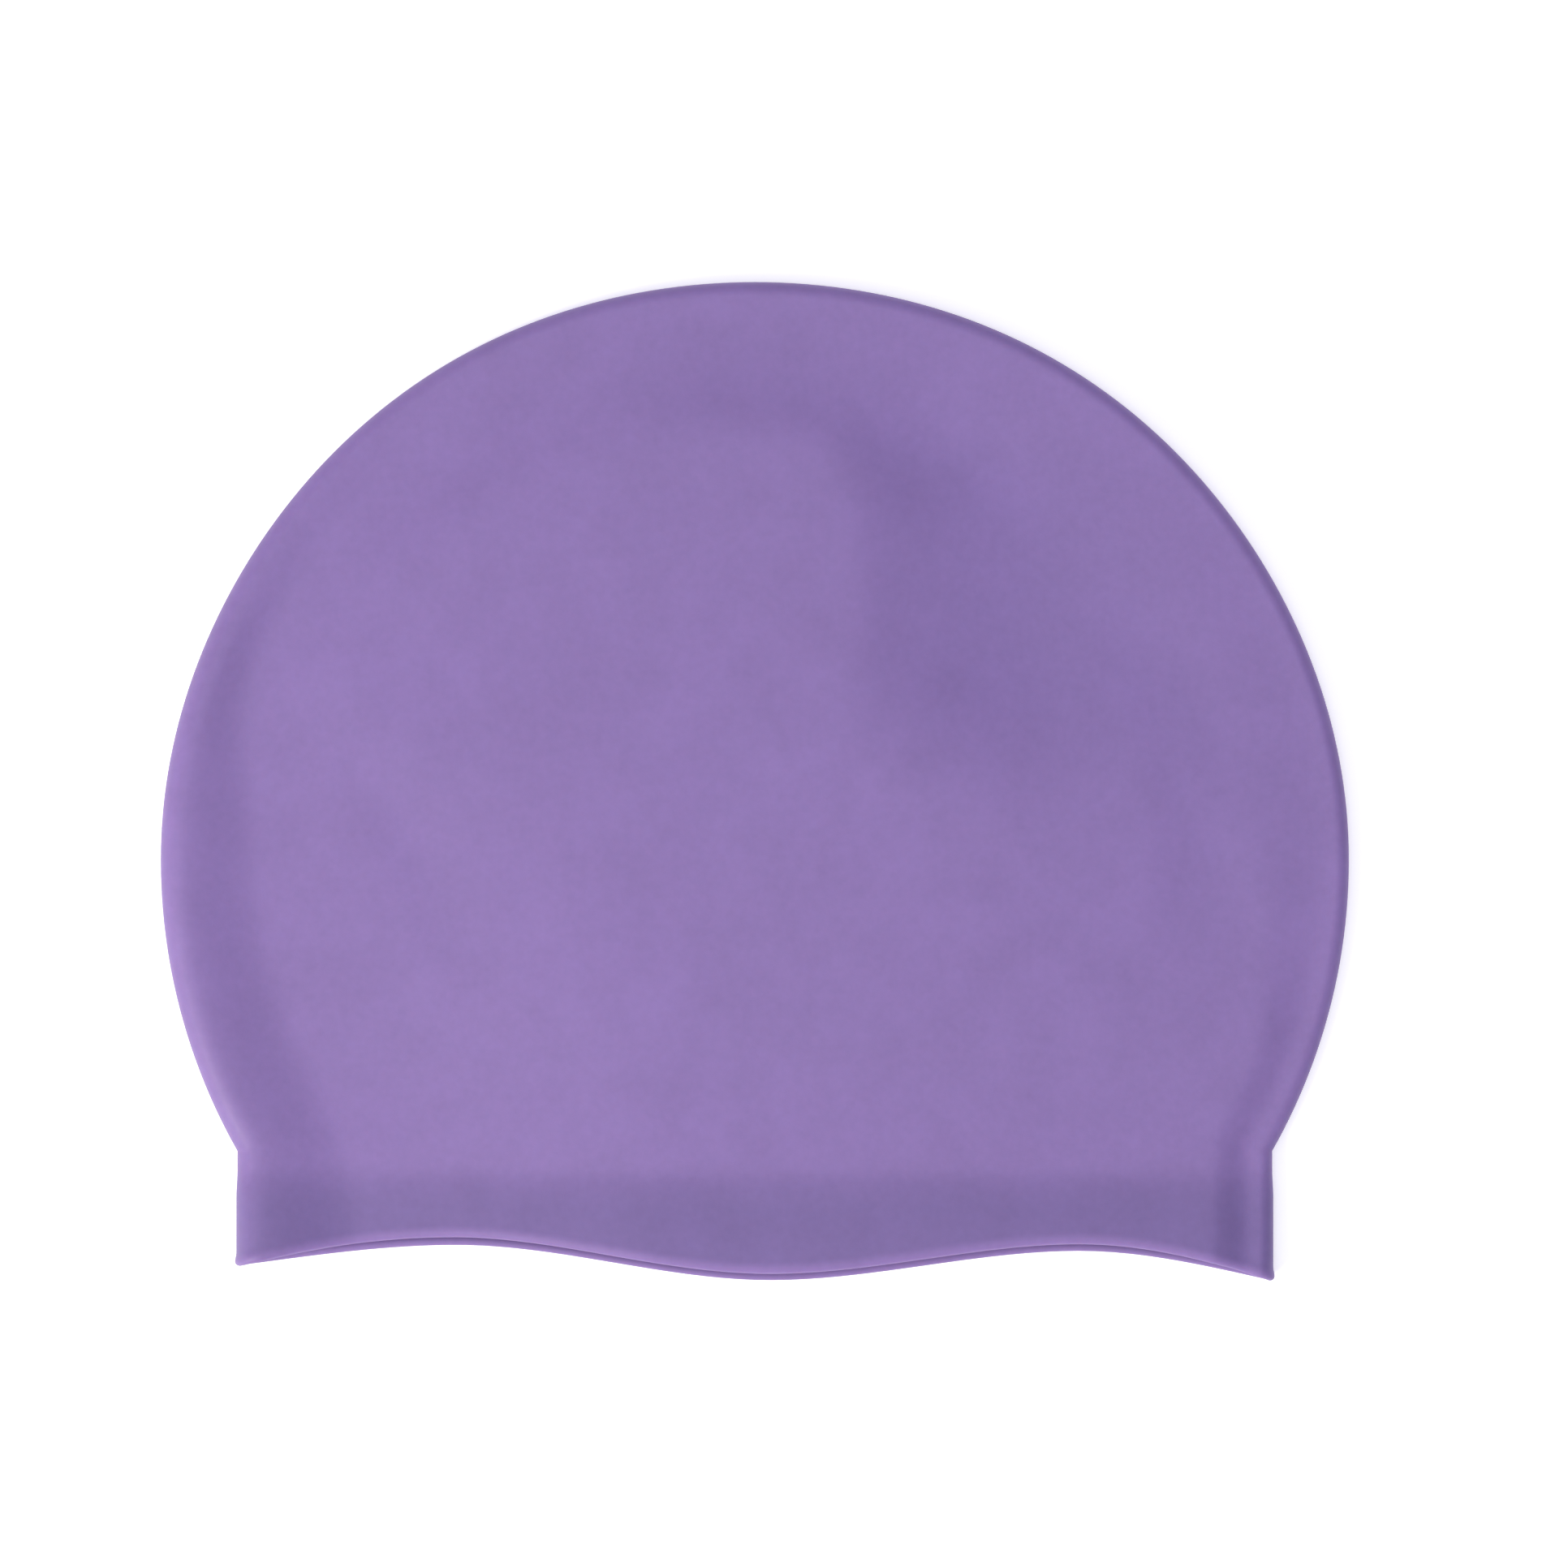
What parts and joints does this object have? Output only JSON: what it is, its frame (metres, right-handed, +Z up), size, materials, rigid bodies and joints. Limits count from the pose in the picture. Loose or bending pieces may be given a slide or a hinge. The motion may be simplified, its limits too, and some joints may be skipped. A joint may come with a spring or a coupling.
{
  "type": "swim cap",
  "caption": "Plain lilac silicone swim cap, moulded in one piece, lying flat with its waved mouth slightly open.",
  "frame": {"origin": "on the table under the middle of the cap's outline, as it lies flat", "axes": "+X to the right across the cap, +Y towards the top of the crown and away from the mouth, +Z up from the table"},
  "size_m": [0.22, 0.1848, 0.0102],
  "materials": {
    "silicone": "satin"
  },
  "bodies": {
    "root": {"cap": "silicone"}
  },
  "joints": []
}
